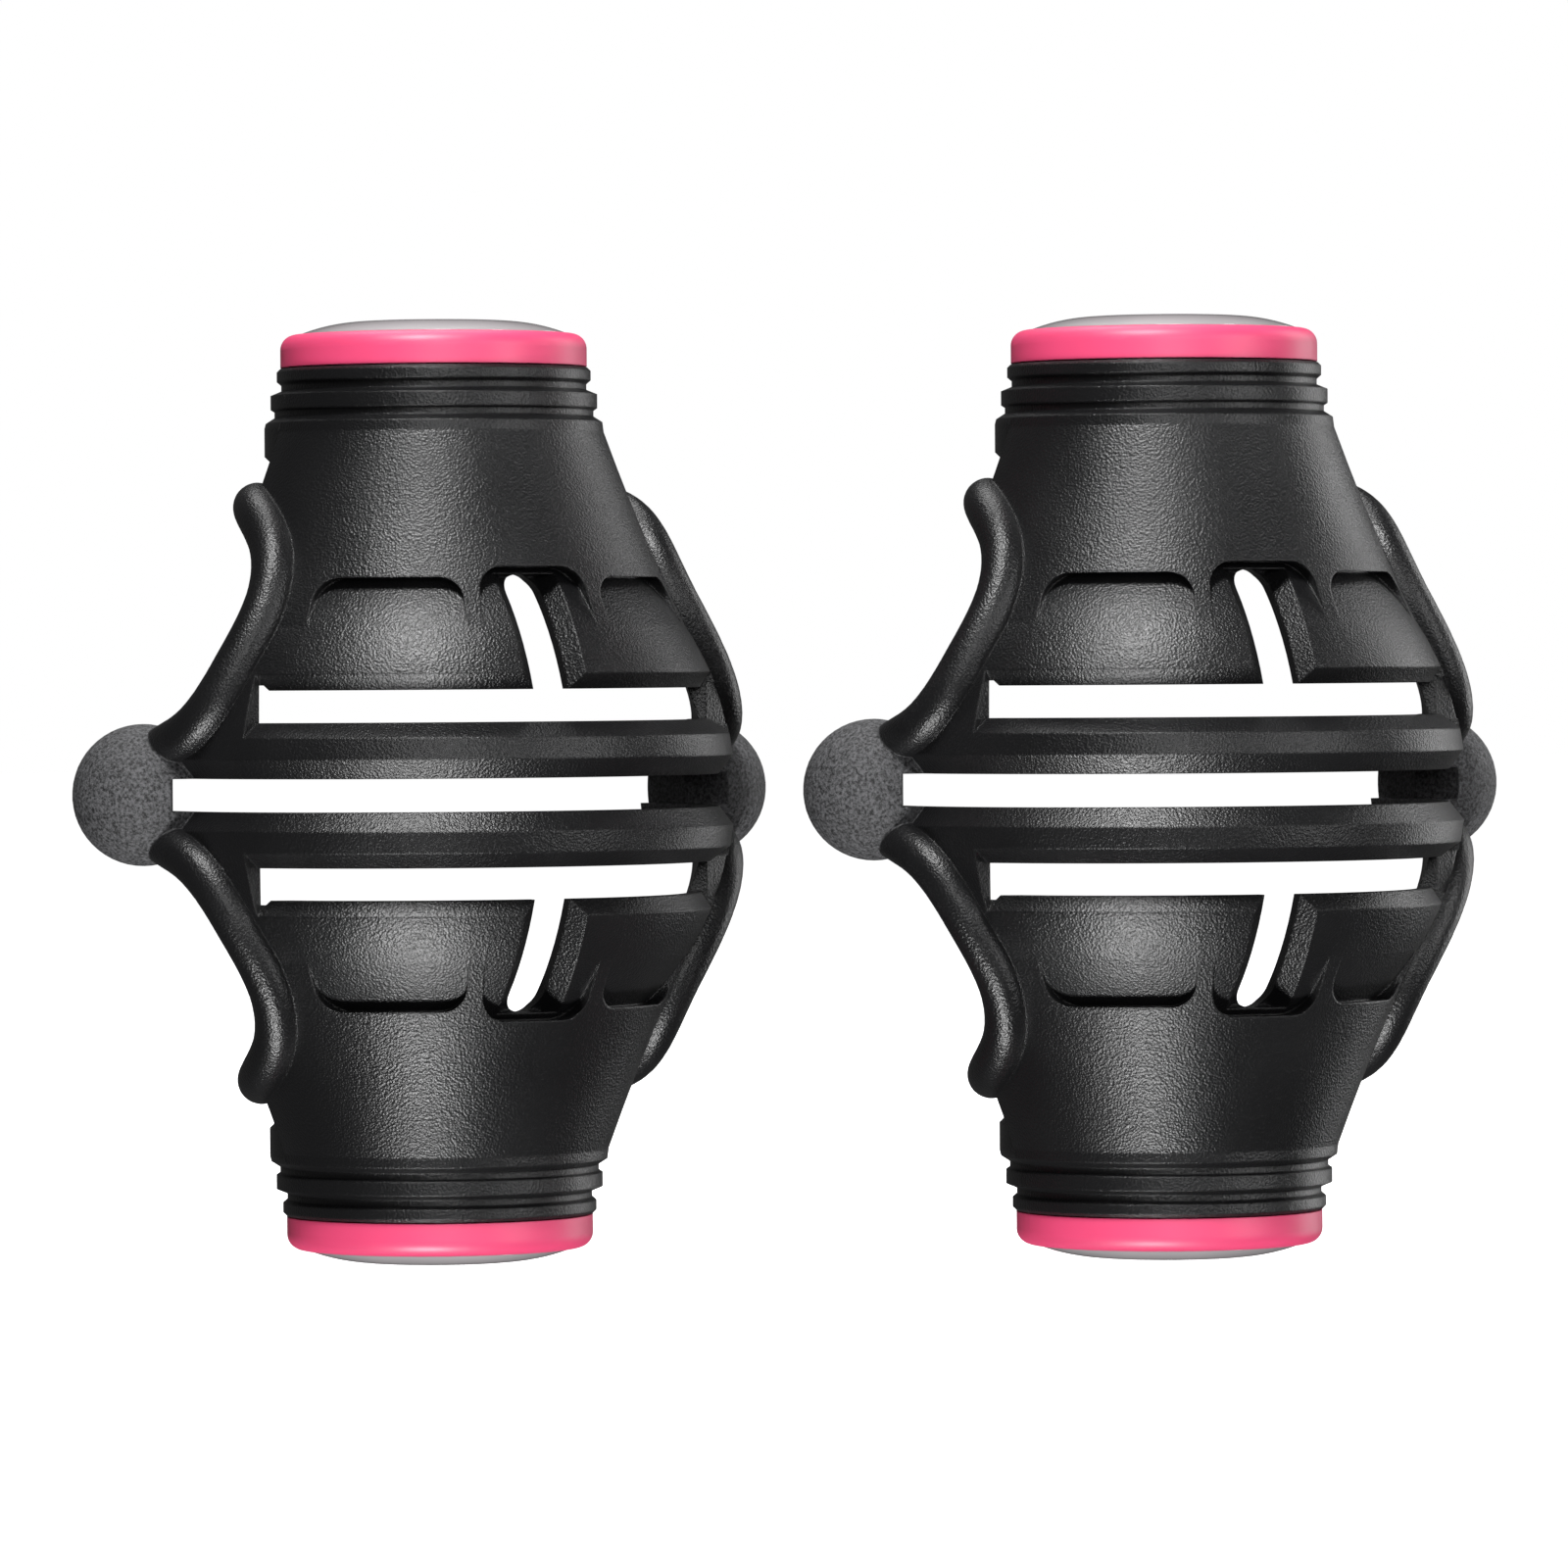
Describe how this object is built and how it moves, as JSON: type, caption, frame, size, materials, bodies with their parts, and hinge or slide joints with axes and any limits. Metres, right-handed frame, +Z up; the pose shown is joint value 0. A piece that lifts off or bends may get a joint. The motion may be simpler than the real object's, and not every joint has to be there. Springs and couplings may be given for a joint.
{
  "type": "golf ball line marker pair",
  "caption": "Pair of open clip-on shells with three pen slots and a turning, sprung cap at each end, for drawing lines round a golf ball.",
  "frame": {"origin": "middle of the bounding box, on the table plane that both markers stand on", "axes": "+Z up along both markers' long axes, slotted fronts towards -Y, ball openings towards +Y, markers side by side along X"},
  "size_m": [0.112, 0.0632, 0.0742],
  "materials": {
    "shell": "black moulded ABS with a fine leather grain",
    "collar": "black moulded ABS with a fine leather grain",
    "cap": "pink moulded ABS, satin gloss",
    "badge": "pale grey disc under clear domed resin",
    "cup": "dark grey moulded acetal",
    "pad": "black moulded silicone rubber",
    "screw": "zinc plated steel",
    "spring": "drawn spring steel"
  },
  "bodies": {
    "left_body": {"left_guide_shell": "shell", "left_upper_collar": "collar", "left_lower_collar": "collar"},
    "left_upper_cap_body": {"left_upper_cap": "cap", "left_upper_badge": "badge", "left_upper_spring": "spring"},
    "left_upper_cup_body": {"left_upper_cup": "cup", "left_upper_pad": "pad", "left_upper_screw": "screw"},
    "left_lower_cap_body": {"left_lower_cap": "cap", "left_lower_badge": "badge", "left_lower_spring": "spring"},
    "left_lower_cup_body": {"left_lower_cup": "cup", "left_lower_pad": "pad", "left_lower_screw": "screw"},
    "right_body": {"right_guide_shell": "shell", "right_upper_collar": "collar", "right_lower_collar": "collar"},
    "right_upper_cap_body": {"right_upper_cap": "cap", "right_upper_badge": "badge", "right_upper_spring": "spring"},
    "right_upper_cup_body": {"right_upper_cup": "cup", "right_upper_pad": "pad", "right_upper_screw": "screw"},
    "right_lower_cap_body": {"right_lower_cap": "cap", "right_lower_badge": "badge", "right_lower_spring": "spring"},
    "right_lower_cup_body": {"right_lower_cup": "cup", "right_lower_pad": "pad", "right_lower_screw": "screw"}
  },
  "joints": [
    {"name": "left_upper_cap_turn", "type": "hinge", "parent": "left_body", "child": "left_upper_cap_body", "pos_m": [-0.02615, 0.01626, 0.0719], "axis": [0, 0, 1], "continuous": true},
    {"name": "left_upper_cup_slide", "type": "slide", "parent": "left_upper_cap_body", "child": "left_upper_cup_body", "axis": [0, 0, 1], "range_m": [0, 0.002], "stiffness_N_per_m": 250, "springref_m": -0.003, "deforming": ["left_upper_spring"]},
    {"name": "left_lower_cap_turn", "type": "hinge", "parent": "left_body", "child": "left_lower_cap_body", "pos_m": [-0.02615, 0.01626, 0.0023], "axis": [0, 0, 1], "continuous": true},
    {"name": "left_lower_cup_slide", "type": "slide", "parent": "left_lower_cap_body", "child": "left_lower_cup_body", "axis": [0, 0, -1], "range_m": [0, 0.002], "stiffness_N_per_m": 250, "springref_m": -0.003, "deforming": ["left_lower_spring"]},
    {"name": "right_upper_cap_turn", "type": "hinge", "parent": "right_body", "child": "right_upper_cap_body", "pos_m": [0.02615, -0.00814, 0.0719], "axis": [0, 0, 1], "continuous": true},
    {"name": "right_upper_cup_slide", "type": "slide", "parent": "right_upper_cap_body", "child": "right_upper_cup_body", "axis": [0, 0, 1], "range_m": [0, 0.002], "stiffness_N_per_m": 250, "springref_m": -0.003, "deforming": ["right_upper_spring"]},
    {"name": "right_lower_cap_turn", "type": "hinge", "parent": "right_body", "child": "right_lower_cap_body", "pos_m": [0.02615, -0.00814, 0.0023], "axis": [0, 0, 1], "continuous": true},
    {"name": "right_lower_cup_slide", "type": "slide", "parent": "right_lower_cap_body", "child": "right_lower_cup_body", "axis": [0, 0, -1], "range_m": [0, 0.002], "stiffness_N_per_m": 250, "springref_m": -0.003, "deforming": ["right_lower_spring"]},
    {"name": "right_marker_slide", "type": "slide", "parent": "left_body", "child": "right_body", "axis": [1, 0, 0], "range_m": [0, 0.06]}
  ]
}
